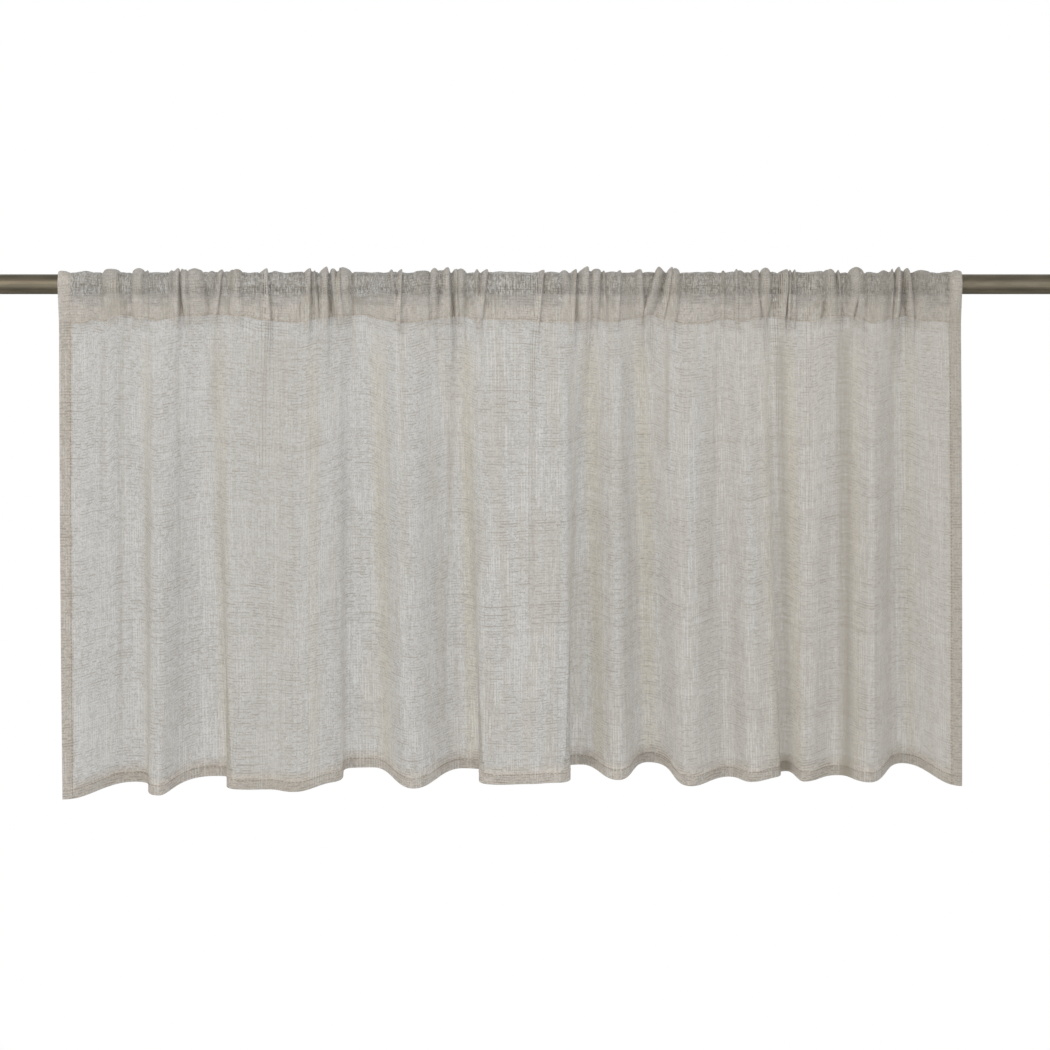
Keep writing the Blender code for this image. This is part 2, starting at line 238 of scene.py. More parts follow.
PLEATS = (
    # top, seam, width, flare, belly, rise, lean, point, run
    Pleat(-446, -446, 12, 0, 0, 1.6, 0.0, 0.8, 20),
    Pleat(-422, -422, 12, 0, 0, 1.2, 0.0, 1.2, 20),
    Pleat(-398, -394, 17, 5, 2, 3.6, -1.8, 0.7, 50),
    Pleat(-371, -371, 13, 2, 0, 3.9, -1.0, 0.7, 40),
    Pleat(-363, -363, 4, -1, 0, 2.2, 0.8, 1.2, 10),
    Pleat(-338, -338, 6, 0, 0, 2.2, 0.0, 1.5, 20),
    Pleat(-333, -334, 7, 2, 0, 3.8, 1.0, 1.0, 50),
    Pleat(-330, -330, 6, 3, 0, -4.5, 0.0, 1.5, 20),
    Pleat(-326, -324, 7, 0, 0, 3.6, -0.8, 0.8, 30),
    Pleat(-316, -314, 17, 6, 5, 4.2, 0.0, 0.7, 40),
    Pleat(-298, -298, 6, 0, 0, 1.6, 0.0, 1.0, 20),
    Pleat(-289, -296, 6, 0, 0, 3.0, 1.5, 1.0, 30),
    Pleat(-282, -286, 11, 0, 0, 1.4, 0.0, 1.0, 30),
    Pleat(-274, -273, 13, 0, 0, 3.0, 0.0, 0.9, 30),
    Pleat(-246, -243, 9, 0, 0, 4.0, 2.8, 2.0, 70),
    Pleat(-235, -235, 8, 0, 0, 1.2, 0.0, 1.5, 40),
    Pleat(-202, -204, 8, 3, 0, 4.5, 2.2, 1.4, 40),
    Pleat(-197, -193, 4, 0, 2, 2.4, 1.5, 1.0, 10),
    Pleat(-186, -186, 10, 2, 0, 6.0, 2.4, 1.4, 90),
    Pleat(-180, -180, 5, 1, 0, -4.5, 0.0, 1.5, 10),
    Pleat(-176, -171, 8, 0, 0, 3.6, -1.0, 0.8, 20),
    Pleat(-171, -167, 4, 0, 0, 2.5, 1.2, 1.5, 10),
    Pleat(-165, -165, 14, 0, 2, 5.6, -1.2, 0.7, 60),
    Pleat(-119, -112, 4, 0, 0, 2.6, 0.5, 1.2, 20),
    Pleat(-110, -112, 5, 0, 0, 3.0, 1.8, 1.2, 20),
    Pleat(-87, -86, 18, 0, 0, 1.6, 0.0, 1.0, 20),
    Pleat(-74, -77, 11, -5, 0, 4.2, -1.6, 0.8, 30),
    Pleat(-73, -77, 4, 2, 0, -3.5, 0.0, 1.2, 10),
    Pleat(-65, -64, 11, 4, 0, 5.8, 2.6, 1.3, 80),
    Pleat(-58, -58, 4, 1, 0, -4.0, 0.0, 1.2, 20),
    Pleat(-55, -54, 5, 0, 0, 3.4, 1.0, 1.2, 20),
    Pleat(-49, -50, 11, 0, 0, 3.6, 0.0, 0.8, 50),
    Pleat(-33, -33, 6, 0, 0, 3.0, 0.0, 2.2, 20),
    Pleat(-25, -31, 7, 0, 0, 3.2, 1.8, 1.0, 40),
    Pleat(-7, -5, 20, 0, 0, 1.2, 0.0, 1.0, 20),
    Pleat(31, 26, 7, 0, 0, 2.6, 2.6, 1.0, 60),
    Pleat(54, 60, 9, 4, 0, 2.6, 0.5, 1.0, 30),
    Pleat(64, 62, 6, 0, 0, 2.6, 1.8, 1.0, 40),
    Pleat(74, 73, 12, 3, 0, 6.0, 3.2, 1.3, 110),
    Pleat(85, 82, 13, 0, 0, 3.8, 1.5, 0.7, 50),
    Pleat(93, 96, 4, 0, 0, 2.6, 0.5, 1.2, 10),
    Pleat(109, 107, 5, 0, 0, 2.4, 1.2, 1.2, 20),
    Pleat(128, 131, 9, 0, 0, 2.8, 2.2, 1.1, 50),
    Pleat(136, 139, 4, 6, 0, -3.0, 0.0, 1.2, 20),
    Pleat(151, 137, 9, 2, 2, 6.0, -2.2, 1.2, 100),
    Pleat(158, 150, 6, 0, 0, 3.4, 2.0, 1.0, 40),
    Pleat(163, 158, 13, 2, 3, 3.4, 2.0, 0.7, 50),
    Pleat(213, 213, 5, 0, 0, 2.2, 0.0, 1.8, 30),
    Pleat(226, 227, 4, 0, 0, 3.2, 0.0, 2.0, 20),
    Pleat(230, 230, 8, 0, 0, 2.2, 0.0, 1.0, 30),
    Pleat(245, 247, 9, 0, 0, 2.6, 0.6, 0.8, 20),
    Pleat(255, 256, 10, -6, 5, 4.6, 0.0, 0.7, 60),
    Pleat(273, 271, 11, 0, 2, 3.4, 3.0, 1.0, 40),
    Pleat(276, 276, 4, 2, 0, -4.0, 0.0, 1.2, 10),
    Pleat(280, 279, 4, 0, 0, 2.6, -0.5, 1.2, 20),
    Pleat(284, 284, 4, 0, 0, 2.6, 0.8, 2.0, 20),
    Pleat(308, 308, 18, 0, 0, 1.4, 0.0, 1.0, 20),
    Pleat(319, 323, 11, 6, 0, 2.8, 0.5, 0.8, 30),
    Pleat(322, 312, 4, 1, 0, -3.0, 0.0, 1.5, 20),
    Pleat(325, 333, 4, 1, 0, -3.0, 0.0, 1.5, 40),
    Pleat(328, 331, 4, 0, 0, 3.2, 0.0, 1.5, 20),
    Pleat(346, 347, 16, 0, 2, 5.0, 0.0, 0.7, 50),
    Pleat(352, 345, 3, 0, 0, -4.0, 0.0, 1.5, 10),
    Pleat(373, 373, 10, 0, 0, 1.8, 0.0, 1.2, 20),
    Pleat(382, 382, 4, 0, 0, 3.4, 0.0, 2.0, 20),
    Pleat(388, 387, 8, 0, 0, 6.0, 0.8, 1.3, 80),
    Pleat(394, 393, 6, 2, 0, -5.0, 0.0, 1.2, 20),
    Pleat(395, 401, 9, 0, 0, 4.4, 1.6, 0.9, 50),
    Pleat(411, 411, 18, 0, 0, 2.0, 0.0, 1.0, 20),
    Pleat(447, 447, 12, 0, 0, 2.0, 0.0, 0.8, 20),
)


class Crease(NamedTuple):
    """One soft crease of the fall: a ridge, or a trough where rise is less than 0.

    high, low: its place along the rod at its upper and its lower end
    start, stop: how far below the rod's axis these ends are
    width, rise: its size; a rise of 0 makes it a plain band of painted shade
    crowd: how much shade is painted along it, up to 1
    """

    high: float
    low: float
    start: float
    stop: float
    width: float
    rise: float
    crowd: float


CREASES = (
    # high, low, start, stop, width, rise, crowd
    Crease(-407, -413, 34, 250, 7, -0.8, 0.25),
    Crease(-398, -405, 34, 300, 16, 1.6, 0.0),
    Crease(-389, -399, 34, 520, 9, -1.4, 0.35),
    Crease(-362, -368, 34, 560, 11, -0.6, 0.15),
    Crease(-332, -334, 34, 360, 10, -1.0, 0.1),
    Crease(-296, -300, 34, 150, 13, -1.0, 0.3),
    Crease(-244, -250, 34, 210, 7, -0.8, 0.3),
    Crease(-55, -71, 34, 560, 9, -1.6, 0.3),
    Crease(24, 20, 34, 400, 9, -1.4, 0.4),
    Crease(158, 156, 34, 190, 9, -1.2, 0.55),
    Crease(209, 203, 34, 380, 9, -1.4, 0.25),
    Crease(270, 286, 34, 660, 18, -2.0, 0.9),
    Crease(334, 345, 34, 660, 20, -3.0, 1.0),
    Crease(384, 384, 34, 380, 11, -1.0, 0.3),
    # bands of painted shade alone, without a crease
    Crease(-240, -235, 34, 900, 150, 0.0, 0.35),
    Crease(73, 71, 34, 660, 20, 0.0, 0.1),
    Crease(134, 140, 34, 660, 26, 0.0, 0.1),
)
CREASE_START = 40.0  # in which a crease rises at its upper end
CREASE_END = 0.3  # share of its length in which it dies out at the lower one
SEAM_PAINTED_SHADE = 0.12  # painted shade on the fall just below the seam
SEAM_SHADE_REACH = 260.0


class Band(NamedTuple):
    """One band of painted warm light on the fall, on a flank that faces the key light at the left.

    high, low: its place along the rod at the seam and at the hem
    width: how wide it is
    share: how much warm light is painted on, up to 1
    """

    high: float
    low: float
    width: float
    share: float


BANDS = (
    # high, low, width, share
    Band(-365, -369, 20, 0.3),
    Band(-292, -290, 24, 0.45),
    Band(-197, -199, 18, 0.3),
    Band(-134, -125, 28, 0.5),
    Band(-44, -39, 26, 0.55),
    Band(80, 91, 26, 0.55),
    Band(130, 144, 28, 0.6),
    Band(255, 270, 26, 0.35),
    Band(278, 293, 20, 0.6),
    Band(344, 352, 22, 0.5),
    Band(400, 409, 18, 0.4),
)
BAND_START = 0.1  # share of the fall in which the bands set in below the seam

HEAD, HEM, FRONT, DROP, LEFT, RIGHT = np.array(FOLDS).T
LAST_FOLD = len(FOLDS) - 1


def mix(start, end, share):
    return start + (end - start) * share


def smooth(share):
    share = np.clip(share, 0, 1)
    return share * share * (3 - 2 * share)


def bezier(p0, p1, p2, p3, share):
    rest = 1 - share
    return rest**3 * p0 + 3 * rest**2 * share * p1 + 3 * rest * share**2 * p2 + share**3 * p3


def line_slopes():
    """How steeply the hem passes each fold's line: level at a ridge or valley, oblique in between."""
    steep = np.diff(FRONT) / np.diff(HEM)
    before, after = steep[:-1], steep[1:]
    turning = before * after <= 0
    passing = 2 * before * after / np.where(turning, 1, before + after)
    return np.concatenate([[0.0], np.where(turning, 0, passing), [0.0]])


SLOPES = line_slopes()


def split(place):
    index = np.minimum(place.astype(int), LAST_FOLD - 1)
    return index, place - index


def fold_plan(place, fall):
    """Where the folded cloth is along the rod and in front of it, at one level of the fall."""
    index, share = split(place)
    x0 = mix(HEAD[index], HEM[index], fall)
    x1 = mix(HEAD[index + 1], HEM[index + 1], fall)
    depth = mix(SEAM_DEPTH, 1, 1 - (1 - fall) ** DEPTH_GROWTH)
    turn = fall**TURN_GROWTH
    out = mix(SEAM_REACH * (x1 - x0), RIGHT[index], turn)
    back = mix(SEAM_REACH * (x1 - x0), LEFT[index + 1], turn)
    y0, y1 = FRONT[index], FRONT[index + 1]
    along = bezier(x0, x0 + out, x1 - back, x1, share)
    front = bezier(y0, y0 + SLOPES[index] * out, y1 - SLOPES[index + 1] * back, y1, share)
    return along, depth * front


def hump(offset, point=2.0):
    """Cross-section of a pleat or crease: 1 on its line and 0 from half its width on."""
    return np.maximum(np.cos(pi * np.clip(offset, -0.5, 0.5)), 0) ** point


def pleating(along, down, below):
    """Rise and lean of the small pleats, and how much cloth is folded up in them.

    down goes from 0 at the casing's top to 1 at the seam, and below is the depth under the seam.
    """
    rise = np.zeros(np.broadcast(along, down, below).shape)
    lean, folded = np.zeros_like(rise), np.zeros_like(rise)
    for pleat in PLEATS:
        width = pleat.width + pleat.flare * down + pleat.belly * 4 * down * (1 - down)
        offset = (along - mix(pleat.top, pleat.seam, down)) / width
        fade = 1 - smooth(below / pleat.run)
        form = hump(offset, pleat.point) * fade
        if pleat.rise < 0:
            form = form * smooth((down - FRONT_ANGLE_SHARE) / TUCK_REACH)
        else:
            rise -= GROOVE_SHARE * pleat.rise * fade * hump((np.abs(offset) - GROOVE_PLACE) / GROOVE_WIDTH)
        rise += pleat.rise * form
        lean += pleat.lean * form
        folding = smooth((pleat.rise - FOLDED_RISE) / FOLDED_RANGE)
        folded += form * folding * (1 - smooth(below / FOLDED_REACH))
    ripple = sum(size * (1 + np.sin(2 * pi * along / length)) for size, length in RIPPLES)
    rise += ripple * (1 - smooth(below / FOLDED_REACH))
    return rise, lean, np.minimum(folded, 1)


def creasing(along, height):
    """Rise of the fall's creases, and how much shade is painted on the fall below the seam and along them."""
    rise = np.zeros_like(along)
    # painted shade, fading out down from the seam
    crowd = SEAM_PAINTED_SHADE * (1 - smooth(-height / SEAM_SHADE_REACH))
    for crease in CREASES:
        fallen = -height - crease.start
        share = fallen / (crease.stop - crease.start)
        line = mix(crease.high, crease.low, share)
        ends = smooth(fallen / CREASE_START) * smooth((1 - share) / CREASE_END)
        form = ends * hump((along - line) / crease.width)
        rise += crease.rise * form
        crowd += crease.crowd * form
    return rise, crowd


def banding(along, height):
    """How much warm light is painted on the fall at each place, in the bands."""
    top = -SEAM[0].drop
    share = np.clip((height - top) / (height.min() - top), 0, 1)
    painted_warm_light = np.zeros_like(along)
    for band in BANDS:
        painted_warm_light += band.share * hump((along - mix(band.high, band.low, share)) / band.width)
    return painted_warm_light * smooth(share / BAND_START)


def column_places():
    """Places of the mesh's columns, closer together on pleats, and where they are along the seam."""
    dense = np.linspace(0, LAST_FOLD, DENSE_STEPS * LAST_FOLD)
    dense_stations = fold_plan(dense, 0.0)[0]
    pleated = np.abs(pleating(dense_stations, 1.0, 0.0)[0]) > PLEATED_RISE
    crowd = np.diff(dense_stations) * (1 + PLEAT_CROWDING * pleated[1:])
    count = np.concatenate([[0], np.cumsum(crowd)])
    stations = np.interp(np.linspace(0, count[-1], COLUMNS), count, dense_stations)
    return np.interp(stations, dense_stations, dense), stations


def seam_heights(stations):
    points, drops = np.array(SEAM).T
    index = np.clip(np.searchsorted(points, stations), 1, len(points) - 1)
    share = (stations - points[index - 1]) / (points[index] - points[index - 1])
    return -mix(drops[index - 1], drops[index], smooth(share))


def fall_grid(places, stations):
    """The hanging cloth, a row for each level from the hem's edge up to the seam."""
    index, share = split(places)
    drop = mix(DROP[index], DROP[index + 1], smooth(share))
    top = seam_heights(stations)
    hem = 1 - np.array(HEM_HEIGHTS)[:, None] / (drop + top)
    rest = (1 - np.arange(1, FALL_ROWS + 1) / FALL_ROWS) ** TOP_CROWDING
    rest[-2] = SEAM_EDGE
    falls = np.vstack([hem, hem[-1] * rest[:, None]])
    along, front = fold_plan(places, falls)
    height = mix(top, -drop, falls)
    rise, lean, folded = pleating(stations, 1.0, top - height)
    front = front + rise + creasing(along, height)[0]
    layers = 1 + FOLDED_LAYERS * folded
    layers[-1] = SEAM_LAYERS
    return np.stack([along + lean, -front, height], axis=-1), layers


def casing_grid(places, stations):
    """The casing, from the row above the seam over the rod and down its back to the seam again."""
    seam_y = -fold_plan(places, 0.0)[1]
    seam_z = seam_heights(stations)
    radius = ROD_RADIUS + ROD_CLEARANCE
    rows, layers = [], []

    def add_row(y, z, out_y, out_z, down, share):
        rise, lean, folded = pleating(stations, down, 0.0)
        rise = rise * share
        along = stations + lean * share
        rows.append(np.stack(np.broadcast_arrays(along, y + out_y * rise, z + out_z * rise), axis=-1))
        behind = smooth((-z - ROD_RADIUS) / LAYER_EDGE) + smooth((-z - ALLOWANCE_TOP) / LAYER_EDGE)
        layers.append(1 + FOLDED_LAYERS * folded + behind)

    def add_wall(angle, seam_shift, facing, share, steps):
        rod_y, rod_z = -radius * cos(angle), radius * sin(angle)
        for step in steps:
            free = 1 - step / WALL_ROWS
            y, z = mix(rod_y, seam_y + seam_shift, free), mix(rod_z, seam_z, free)
            out = Vector((mix(-cos(angle), facing, free), mix(sin(angle), 0, free))).normalized()
            add_row(y, z, out.x, out.y, mix(FRONT_ANGLE_SHARE, 1, free), share)

    add_wall(CASING_FRONT_ANGLE, 0.0, -1, 1.0, range(1, WALL_ROWS + 1))
    top_angle = pi / 2
    for step in range(1, ARC_ROWS + 1):
        angle = mix(CASING_FRONT_ANGLE, CASING_BACK_ANGLE, step / ARC_ROWS)
        down = FRONT_ANGLE_SHARE * abs(angle - top_angle) / (top_angle - CASING_FRONT_ANGLE)
        behind = max(0.0, (angle - top_angle) / (CASING_BACK_ANGLE - top_angle))
        share = mix(1, PLEAT_AT_BACK, behind)
        add_row(-radius * cos(angle), radius * sin(angle), -cos(angle), sin(angle), down, share)
    add_wall(CASING_BACK_ANGLE, SEAM_DEPTH_BEHIND, 1, PLEAT_AT_BACK, range(WALL_ROWS - 1, -1, -1))
    return np.stack(rows), np.stack(layers)


def unit(vectors):
    return vectors / np.linalg.norm(vectors, axis=-1, keepdims=True)


class Turn(NamedTuple):
    """One line of the turned cloth: the line of the outer cloth that it lies behind, and how.

    line: number of that row or column
    depth: how far behind it
    side: 1 where the cloth lies as the outer cloth does, -1 where it is turned over, 0 at a fold
    push: how far a folded edge stands out past the line
    """

    line: int
    depth: float = 0.0
    side: int = 1
    push: float = 0.0


def row_turns(row_count):
    """Rows of the whole cloth, from the raw edge in the bottom hem to the raw edge in the casing."""
    hem_top = len(HEM_HEIGHTS) - 1
    inner = [Turn(row, HEM_DEPTH / 2) for row in range(1, hem_top)]
    inner_fold = [Turn(hem_top, HEM_DEPTH * INNER_FOLD_PLACE, 0)]
    back = [Turn(row, HEM_DEPTH, -1) for row in range(hem_top, -1, -1)]
    edge = [Turn(0, HEM_DEPTH / 2, 0, FOLD_BULGE)]
    outer = [Turn(row) for row in range(row_count)]
    last = row_count - 1
    seam = [Turn(last, ALLOWANCE_DEPTH / 2, 0, FOLD_BULGE)]
    allowance = [Turn(row, ALLOWANCE_DEPTH, -1) for row in range(last, last - ALLOWANCE_ROWS - 1, -1)]
    return inner + inner_fold + back + edge + outer + seam + allowance


def column_turns(column_count, wide):
    """Columns of the whole cloth, from the raw edge in one side hem to the one in the other."""
    inner = [Turn(column, SIDE_HEM_DEPTH / 2) for column in range(1, wide)]
    inner_fold = [Turn(wide, SIDE_HEM_DEPTH * INNER_FOLD_PLACE, 0)]
    back = [Turn(column, SIDE_HEM_DEPTH, -1) for column in range(wide, -1, -1)]
    edge = [Turn(0, SIDE_HEM_DEPTH / 2, 0, -FOLD_BULGE)]
    left = inner + inner_fold + back + edge
    last = column_count - 1
    right = [turn._replace(line=last - turn.line, push=-turn.push) for turn in reversed(left)]
    return left + [Turn(column) for column in range(column_count)] + right


def turned_cloth(grid, grid_layers, wide):
    """The whole cloth with its turned edges, and how many layers of it lie on each other."""
    back = unit(np.cross(np.gradient(grid, axis=0), np.gradient(grid, axis=1)))
    rows, columns = row_turns(grid.shape[0]), column_turns(grid.shape[1], wide)
    row_line, row_depth, row_side, row_push = (np.array(v)[:, None] for v in zip(*rows))
    column_line, column_depth, _, column_push = (np.array(v) for v in zip(*columns))
    in_side_hem = np.minimum(column_line, grid.shape[1] - 1 - column_line) <= wide
    in_hem = row_line < len(HEM_HEIGHTS)
    depth = row_depth * (1 + HEM_PADDING * in_side_hem) + row_side * column_depth
    cloth = grid[row_line, column_line] + back[row_line, column_line] * depth[..., None]
    cloth[..., 0] += column_push
    cloth[..., 2] -= row_push
    layers = np.maximum(grid_layers[row_line, column_line], np.where(in_side_hem | in_hem, HEM_LAYERS, 1))
    return cloth, layers, rows, columns


def cloth_uv(cloth, rows, columns):
    """Each point's place in the flat cloth, in metres, measured along one row and one column."""
    reference_row = rows.index(Turn(len(HEM_HEIGHTS) + FALL_ROWS // 4))
    reference_column = columns.index(Turn(len(columns) // 3))
    across = np.linalg.norm(np.diff(cloth[reference_row], axis=0), axis=-1)
    down = np.linalg.norm(np.diff(cloth[:, reference_column], axis=0), axis=-1)
    u = np.concatenate([[0], np.cumsum(across)]) * MM
    v = np.concatenate([[0], np.cumsum(down)]) * MM
    return np.stack(np.meshgrid(u, v), axis=-1)


def link(name, data, material):
    data.materials.append(material)
    made = bpy.data.objects.new(name, data)
    bpy.context.scene.collection.objects.link(made)
    return made


def grid_faces(row_count, column_count):
    corner = np.arange(row_count * column_count).reshape(row_count, column_count)
    low_left, low_right = corner[:-1, :-1].ravel(), corner[:-1, 1:].ravel()
    high_right, high_left = corner[1:, 1:].ravel(), corner[1:, :-1].ravel()
    return np.stack([low_left, low_right, high_right, high_left], axis=-1)


class Looks(NamedTuple):
    """What the cloth's look depends on at each point. Each value is an attribute of the mesh.

    flank: how steeply the cloth runs away from someone in front of it
    layers: how many layers of cloth lie on each other
    casing: 1 on the casing, 0 on the fall
    crowd: how much shade is painted on, in creases, below the seam and in a broad band
    beige: how much warm light is painted on, in bands on the flanks that face the key light
    """

    flank: object
    layers: object
    casing: object
    crowd: object
    painted_warm_light: object


def cloth_looks(cloth, layers, rows):
    normal = unit(np.cross(np.gradient(cloth, axis=0), np.gradient(cloth, axis=1)) + TINY)
    facing = np.maximum(np.abs(normal[..., 1]), 1 / (1 + FLANK_LIMIT))
    flank = np.clip(1 / facing - 1, 0, FLANK_LIMIT)
    seam_line = len(HEM_HEIGHTS) + FALL_ROWS
    row_line = np.array([row.line for row in rows])
    casing = np.repeat(row_line >= seam_line, cloth.shape[1]).reshape(layers.shape)
    crowd = ~casing * creasing(cloth[..., 0], cloth[..., 2])[1]
    painted_warm_light = ~casing * banding(cloth[..., 0], cloth[..., 2])
    return Looks(flank, layers, casing, crowd, painted_warm_light)


def make_cloth(material):
    """The panel as one thin sheet, with each point's place in the flat cloth and its looks."""
    places, stations = column_places()
    fall, fall_layers = fall_grid(places, stations)
    casing, casing_layers = casing_grid(places, stations)
    grid = np.concatenate([fall, casing])
    side = int(np.searchsorted(stations, stations[0] + SIDE_HEM))
    grid_layers = np.concatenate([fall_layers, casing_layers])
    cloth, layers, rows, columns = turned_cloth(grid, grid_layers, side)
    uv = cloth_uv(cloth, rows, columns)
    faces = grid_faces(*cloth.shape[:2])
    data = bpy.data.meshes.new("curtain_cloth")
    data.from_pydata((cloth * MM).reshape(-1, 3).tolist(), [], faces.tolist())
    data.shade_smooth()
    weave = data.uv_layers.new(name="weave")
    weave.data.foreach_set("uv", uv.reshape(-1, 2)[faces.ravel()].ravel().astype(np.float32))
    for name, values in cloth_looks(cloth, layers, rows)._asdict().items():
        attribute = data.attributes.new(name, "FLOAT", "POINT")
        attribute.data.foreach_set("value", values.ravel().astype(np.float32))
    return link("curtain_cloth", data, material), grid, side


# Stitching
STITCH_LENGTH = 2.2
STITCH_PITCH = 3.8
STITCH_RADIUS = 0.24
STITCH_LIFT = 0.12  # from the cloth to the middle of the thread
STITCH_SIDES = 5
STITCH_PROFILE = ((0.0, 0.25), (0.2, 0.9), (0.5, 1.0), (0.8, 0.9), (1.0, 0.25))  # share of length, of radius


def stitch_rings(path, outward):
    """Rings of small rounded stitches along a line on the cloth, lifted off its face."""
    steps = np.linalg.norm(np.diff(path, axis=0), axis=-1)
    run = np.concatenate([[0], np.cumsum(steps)])
    starts = np.arange(0, run[-1] - STITCH_LENGTH, STITCH_PITCH)
    shares, sizes = np.array(STITCH_PROFILE).T
    stops = starts[:, None] + shares * STITCH_LENGTH

    def along(values):
        return np.stack([np.interp(stops, run, values[:, axis]) for axis in range(3)], axis=-1)

    middle, out = along(path), unit(along(outward))
    ahead = unit(np.gradient(middle, axis=1))
    across = unit(np.cross(ahead, out))
    turn = 2 * pi * np.arange(STITCH_SIDES) / STITCH_SIDES
    radius = STITCH_RADIUS * sizes[None, :, None, None]
    round_ = np.cos(turn)[:, None] * across[:, :, None] + np.sin(turn)[:, None] * out[:, :, None]
    return middle[:, :, None] + STITCH_LIFT * out[:, :, None] + radius * round_


def stitch_lines(grid, side):
    """The sewn lines of the panel as (points, outward directions), on its face and on its back."""
    back = unit(np.cross(np.gradient(grid, axis=0), np.gradient(grid, axis=1)))
    hem_row = len(HEM_HEIGHTS) - 2
    seam_row = len(HEM_HEIGHTS) + FALL_ROWS - 1
    seam = mix(grid[seam_row], grid[seam_row + 1], SEAM_STITCH_SHARE)
    sewn = (
        (grid[hem_row], back[hem_row], HEM_DEPTH),
        (seam, back[seam_row], SEAM_DEPTH_BEHIND + ALLOWANCE_DEPTH),
    )
    lines = []
    for line, behind, depth in sewn:
        lines.append((line, -behind))
        lines.append((line + depth * behind, behind))
    for column in (side - 1, grid.shape[1] - side):
        lines.append((grid[:, column], -back[:, column]))
        lines.append((grid[:, column] + SIDE_HEM_DEPTH * back[:, column], back[:, column]))
    return lines


def make_stitching(grid, side, material):
    points = np.concatenate([stitch_rings(*line).reshape(-1, 3) for line in stitch_lines(grid, side)])
    rings = len(STITCH_PROFILE)
    size = rings * STITCH_SIDES
    corner = np.arange(size).reshape(rings, STITCH_SIDES)
    after = np.roll(corner, -1, axis=1)
    sides = np.stack([corner[:-1], after[:-1], after[1:], corner[1:]], axis=-1).reshape(-1, 4)
    faces = []
    for first in range(0, len(points), size):
        faces += (sides + first).tolist()
        faces.append((corner[0][::-1] + first).tolist())
        faces.append((corner[-1] + first).tolist())
    data = bpy.data.meshes.new("curtain_stitching")
    data.from_pydata((points * MM).tolist(), [], faces)
    data.shade_smooth()
    return link("curtain_stitching", data, material)


class Shader:
    """Nodes of a material or of the world: short calls that each add some and give back their output."""

    def __init__(self, owner):
        self.owner = owner
        self.owner.use_nodes = True
        self.tree = self.owner.node_tree
        self.tree.nodes.clear()

    def feed(self, socket, value):
        if isinstance(value, bpy.types.NodeSocket):
            self.tree.links.new(value, socket)
        else:
            socket.default_value = value

    def node(self, kind, settings=(), **inputs):
        made = self.tree.nodes.new("ShaderNode" + kind)
        for name, value in dict(settings).items():
            setattr(made, name, value)
        for name, value in inputs.items():
            self.feed(made.inputs[name.replace("_", " ")], value)
        return made

    def math(self, operation, first, second=0.0):
        made = self.node("Math", {"operation": operation})
        self.feed(made.inputs[0], first)
        self.feed(made.inputs[1], second)
        return made.outputs[0]

    def step(self, value, low, high, to_low=0.0, to_high=1.0):
        settings = {"interpolation_type": "SMOOTHSTEP"}
        made = self.node("MapRange", settings, Value=value, From_Min=low, From_Max=high)
        made.inputs["To Min"].default_value = to_low
        made.inputs["To Max"].default_value = to_high
        return made.outputs["Result"]

    def noise(self, x, y, detail=0.0):
        place = self.node("CombineXYZ", X=x, Y=y).outputs[0]
        settings = {"noise_dimensions": "2D"}
        return self.node("TexNoise", settings, Vector=place, Scale=1.0, Detail=detail).outputs["Fac"]

    def grain(self, where, scale, detail):
        return self.node("TexNoise", Vector=where, Scale=scale, Detail=detail).outputs["Fac"]

    def chance(self, number):
        return self.node("TexWhiteNoise", {"noise_dimensions": "1D"}, W=number).outputs["Value"]

    def chance_at(self, x, y):  # a number for each cell of a grid
        place = self.node("CombineXYZ", X=x, Y=y).outputs[0]
        return self.node("TexWhiteNoise", {"noise_dimensions": "2D"}, Vector=place).outputs["Value"]

    def attribute(self, name):
        return self.node("Attribute", {"attribute_name": name}).outputs["Fac"]

    def bump(self, height, strength, depth):
        return self.node("Bump", Strength=strength, Distance=depth * MM, Height=height).outputs[0]

    def blend(self, share, first, second):
        made = self.node("Mix", {"data_type": "RGBA"})
        for socket, value in zip((made.inputs[0], made.inputs[6], made.inputs[7]), (share, first, second)):
            self.feed(socket, value)
        return made.outputs[2]

    def surfaces(self, share, first, second):
        made = self.node("MixShader", Fac=share)
        self.feed(made.inputs[1], first)
        self.feed(made.inputs[2], second)
        return made.outputs[0]

    def show(self, surface, output="OutputMaterial"):
        self.node(output, Surface=surface)
        return self.owner


class Ramp(NamedTuple):
    """Two levels of a value, and what it is turned into at them."""

    low: float
    high: float
    at_low: float = 0.0
    at_high: float = 1.0


class Drift(NamedTuple):
    """An uneven run of the yarns: its size across and down the cloth, and how far it shifts them."""

    width: float
    height: float
    shift: float


def colour(red, green, blue):
    return (red, green, blue, 1.0)


# Yarns, in millimetres
WARP_PITCH = 1.25
WEFT_PITCH = 1.2
WARP_HALF_WIDTH = 0.25  # half widths, their spread and the soft edge are shares of the pitch
WEFT_HALF_WIDTH = 0.27
WIDTH_SPREAD = 0.12
THREAD_EDGE = 0.10
WARP_DRIFT = Drift(9.0, 60.0, 1.4)
WEFT_DRIFT = Drift(70.0, 9.0, 0.9)
WEFT_SLANT = Drift(85.0, 250.0, 9.0)
SLUB_PITCH = 2.7  # of the weft yarns that have slubs
SLUB_HALF_WIDTH = 0.16
SLUB_LENGTH = 9.0
SLUB_RARITY = 0.46  # level of the noise from which there is a slub
PALE_PITCH = 2.6  # of the paler warp yarns
PALE_HALF_WIDTH = 0.2
PALE_LENGTH = 24.0
PALE_RARITY = 0.42
RUN_EDGE = 0.1  # range of the noise in which a slub or pale run sets in
RUN_SHIFT = 3.71  # how far apart in the noise the runs of neighbouring threads are
DASH_WIDTH = 0.9  # of the uneven gaps on the casing
DASH_LENGTH = 3.4
DASH_CONTRAST = 1.4  # how unevenly open they are, as a share

